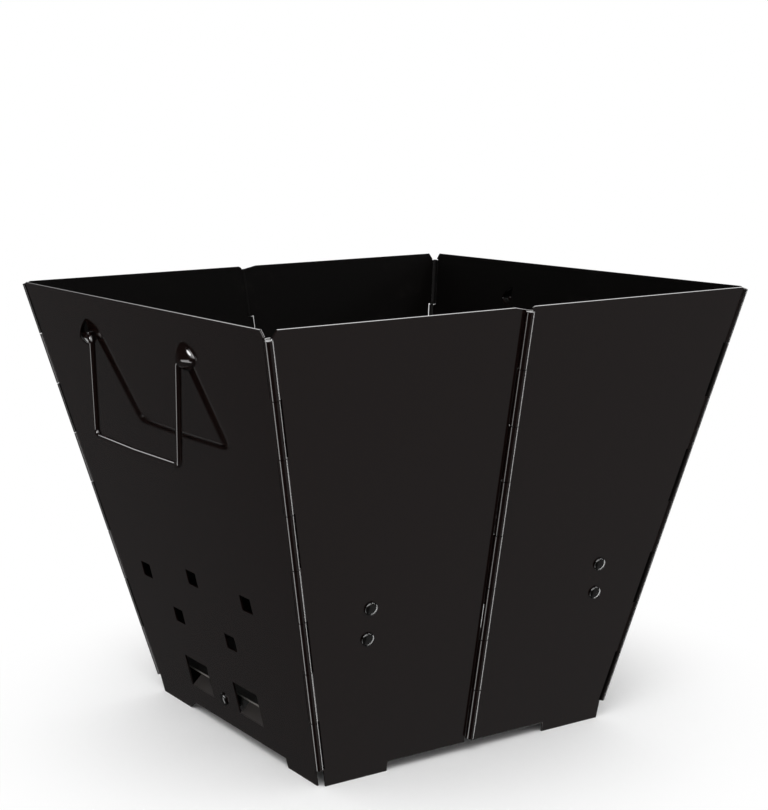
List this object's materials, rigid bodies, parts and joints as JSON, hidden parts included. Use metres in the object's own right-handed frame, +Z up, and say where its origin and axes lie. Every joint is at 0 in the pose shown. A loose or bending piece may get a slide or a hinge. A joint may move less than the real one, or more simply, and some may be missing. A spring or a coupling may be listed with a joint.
{
  "type": "folding fire basket",
  "caption": "Tapered square fire basket of hinged sheet-steel walls that fold inward, with bail handles, vents, a lift-out grate and a base plate.",
  "frame": {"origin": "on the ground, under the middle of the basket", "axes": "+Z up, -Y towards the front wall with its middle hinge, -X towards the left wall with its handle, vents and windows"},
  "size_m": [0.4018, 0.4084, 0.3353],
  "materials": {
    "coated_sheet": "satin black powder coat on sheet steel",
    "coated_wire": "satin black powder coat on steel wire",
    "rivet": "glossy black coat on a domed steel rivet",
    "hinge_pin": "black coated steel rod, worn at the ends",
    "inner_steel": "black coat dulled by soot and heat"
  },
  "bodies": {
    "left_side": {"left_panel": "coated_sheet", "front_left_pin": "hinge_pin", "back_left_pin": "hinge_pin", "left_base_catch": "inner_steel", "left_base_rivet": "rivet"},
    "front_left": {"front_left_half": "coated_sheet", "front_centre_pin": "hinge_pin", "front_left_grate_bracket": "inner_steel", "front_left_lower_rivet": "rivet", "front_left_upper_rivet": "rivet"},
    "front_right": {"front_right_half": "coated_sheet", "front_right_pin": "hinge_pin", "front_right_grate_bracket": "inner_steel", "front_right_lower_rivet": "rivet", "front_right_upper_rivet": "rivet"},
    "right_side": {"right_panel": "coated_sheet", "right_base_catch": "inner_steel", "right_base_rivet": "rivet"},
    "back_left": {"back_left_half": "coated_sheet", "back_centre_pin": "hinge_pin", "back_left_grate_bracket": "inner_steel", "back_left_lower_rivet": "rivet", "back_left_upper_rivet": "rivet"},
    "back_right": {"back_right_half": "coated_sheet", "back_right_pin": "hinge_pin", "back_right_grate_bracket": "inner_steel", "back_right_lower_rivet": "rivet", "back_right_upper_rivet": "rivet"},
    "left_handle": {"left_handle": "coated_wire"},
    "right_handle": {"right_handle": "coated_wire"},
    "fire_grate": {"fire_grate": "inner_steel"},
    "base_plate": {"base_plate": "inner_steel"}
  },
  "joints": [
    {"name": "front_left_fold", "type": "hinge", "parent": "left_side", "child": "front_left", "pos_m": [-0.12344, -0.12344, 0.00087], "axis": [-0.2124, -0.2124, 0.9538], "range_deg": [0, 75]},
    {"name": "front_centre_fold", "type": "hinge", "parent": "front_left", "child": "front_right", "pos_m": [0, -0.12706, -0.00037], "axis": [0, -0.2174, 0.9761], "range_deg": [-150, 0]},
    {"name": "front_right_fold", "type": "hinge", "parent": "front_right", "child": "right_side", "pos_m": [0.12344, -0.12344, 0.00087], "axis": [0.2124, -0.2124, 0.9538], "range_deg": [0, 80]},
    {"name": "back_left_fold", "type": "hinge", "parent": "left_side", "child": "back_left", "pos_m": [-0.12344, 0.12344, 0.00087], "axis": [-0.2124, 0.2124, 0.9538], "range_deg": [-80, 0]},
    {"name": "back_centre_fold", "type": "hinge", "parent": "back_left", "child": "back_right", "pos_m": [0, 0.12706, -0.00037], "axis": [0, 0.2174, 0.9761], "range_deg": [0, 150]},
    {"name": "grate_lift", "type": "slide", "parent": "left_side", "child": "fire_grate", "axis": [0, 0, 1], "range_m": [0, 1]},
    {"name": "base_lift", "type": "slide", "parent": "left_side", "child": "base_plate", "axis": [0, 0, 1], "range_m": [0, 1]},
    {"name": "left_handle_swing", "type": "hinge", "parent": "left_side", "child": "left_handle", "pos_m": [-0.19594, 0.0035, 0.30342], "axis": [0, 1, 0], "range_deg": [-12, 166]},
    {"name": "right_handle_swing", "type": "hinge", "parent": "right_side", "child": "right_handle", "pos_m": [0.19594, -0.0035, 0.30342], "axis": [0, -1, 0], "range_deg": [-12, 166]}
  ],
  "couplings": [
    {"joint": "front_centre_fold", "follows": "front_left_fold", "ratio": -1.9388},
    {"joint": "front_right_fold", "follows": "front_left_fold", "ratio": 1.0007},
    {"joint": "back_left_fold", "follows": "front_left_fold", "ratio": -1},
    {"joint": "back_centre_fold", "follows": "front_left_fold", "ratio": 1.9388},
    {"joint": "grate_lift", "follows": "front_left_fold", "m_per_rad": 0.75},
    {"joint": "base_lift", "follows": "front_left_fold", "m_per_rad": 0.75}
  ]
}
